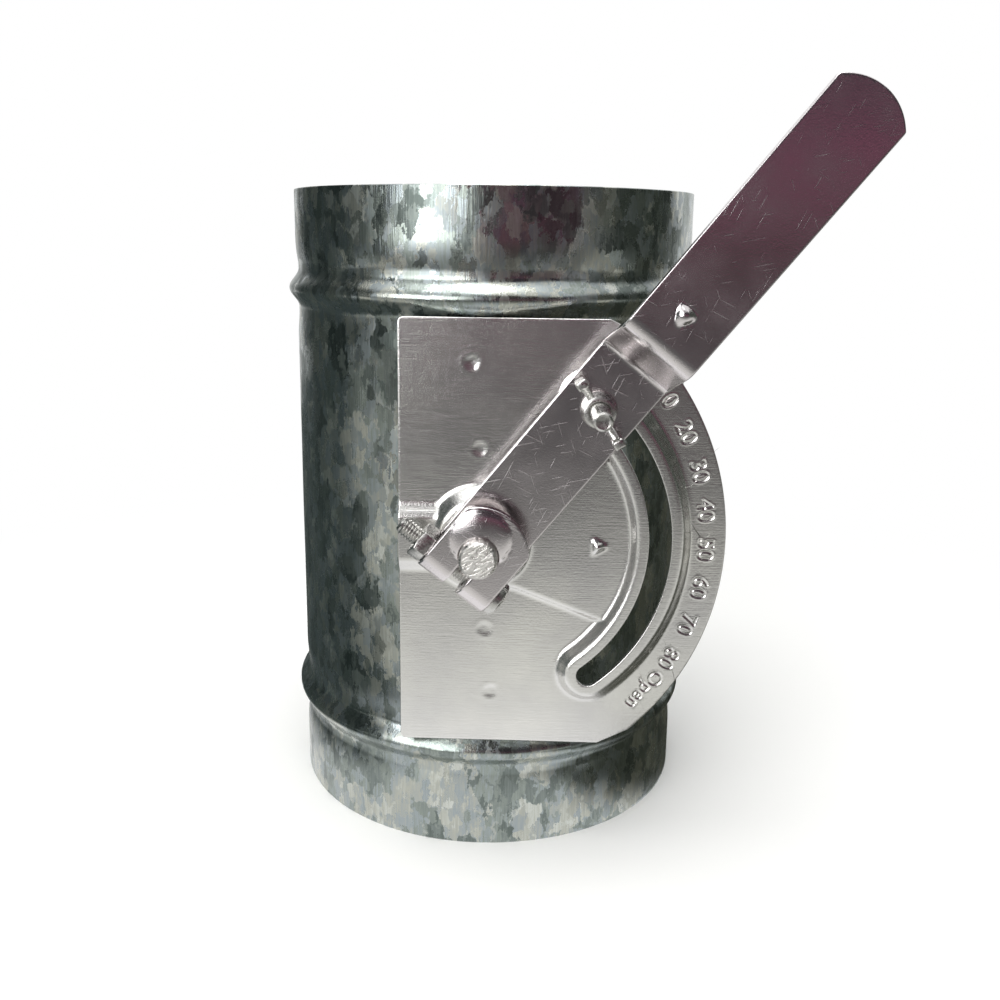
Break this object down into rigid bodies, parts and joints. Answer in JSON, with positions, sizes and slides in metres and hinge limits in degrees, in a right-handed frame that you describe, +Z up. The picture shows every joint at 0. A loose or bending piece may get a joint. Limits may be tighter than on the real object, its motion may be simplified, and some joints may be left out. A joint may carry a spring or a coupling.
{
  "type": "manual duct damper",
  "caption": "Round sheet-steel duct damper with a swinging disc blade, a slotted dial plate and a folded lever that a wing nut locks.",
  "frame": {"origin": "centre of the lower spigot's end, on the duct axis", "axes": "+Z up the duct axis towards the upper spigot, -Y towards the dial plate, +X to the right as the dial is read"},
  "size_m": [0.1298, 0.1281, 0.1698],
  "materials": {
    "galvanised_sheet": "hot-dip galvanised with a coarse spangle",
    "zinc_plated_sheet": "bright zinc plate, fine horizontal brushing",
    "zinc_plated_strip": "bright zinc plate, scratched",
    "zinc_plated_bar": "zinc-plated drawn bar with a sawn end",
    "zinc_plated_hardware": "bright zinc plate",
    "spring_steel": "phosphated spring steel",
    "nylon": "moulded natural nylon"
  },
  "bodies": {
    "housing": {"sleeve": "galvanised_sheet", "dial_plate": "zinc_plated_sheet", "front_bush": "nylon", "rear_bush": "nylon"},
    "damper": {"shaft": "zinc_plated_bar", "blade": "galvanised_sheet", "blade_washers": "zinc_plated_hardware", "blade_screws": "zinc_plated_hardware", "lever_washer": "zinc_plated_hardware", "lever": "zinc_plated_strip", "pinch_screw": "zinc_plated_hardware", "pinch_nut": "zinc_plated_hardware", "lock_bolt": "zinc_plated_hardware", "slot_washer": "zinc_plated_hardware", "rear_washer": "zinc_plated_hardware", "retaining_ring": "spring_steel"},
    "wing_nut": {"wing_nut": "zinc_plated_hardware"}
  },
  "joints": [
    {"name": "damper_turn", "type": "hinge", "parent": "housing", "child": "damper", "pos_m": [0, 0, 0.075], "axis": [0, 1, 0], "range_deg": [0, 90]},
    {"name": "wing_nut_turn", "type": "hinge", "parent": "damper", "child": "wing_nut", "pos_m": [0.02419, -0.0568, 0.10508], "axis": [0, -1, 0], "range_deg": [0, 360]}
  ]
}
